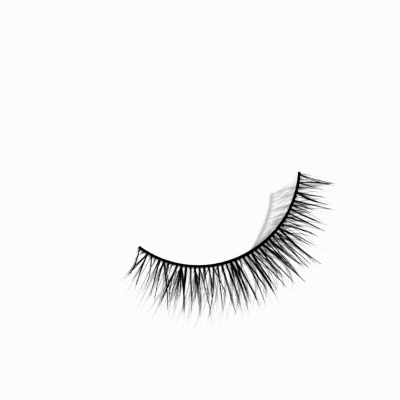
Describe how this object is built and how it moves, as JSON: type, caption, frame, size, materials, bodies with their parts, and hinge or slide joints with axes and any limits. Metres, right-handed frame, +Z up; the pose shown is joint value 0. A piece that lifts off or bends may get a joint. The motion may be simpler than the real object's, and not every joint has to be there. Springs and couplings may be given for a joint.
{
  "type": "false eyelash strip",
  "caption": "False eyelash strip: curled black lash locks tied in a fan along a curved cotton band, lying with one end raised on its tips.",
  "frame": {"origin": "on the band's underside, near the middle of the stretch that lies flat on the table", "axes": "+X along the chord from the flat end to the raised end, +Y towards the eyelid side of the band, +Z up; the locks fan out to -Y"},
  "size_m": [0.0354, 0.0167, 0.0053],
  "materials": {
    "band_cotton": "black cotton band stiffened with dried glue, matt",
    "tying_thread": "black waxed tying thread, knotted, satin",
    "lash_fibre": "heat-set tapered synthetic fibre, black, soft satin sheen"
  },
  "bodies": {
    "root": {"lash_band": "band_cotton", "knot_thread": "tying_thread", "lash_fringe": "lash_fibre"}
  },
  "joints": []
}
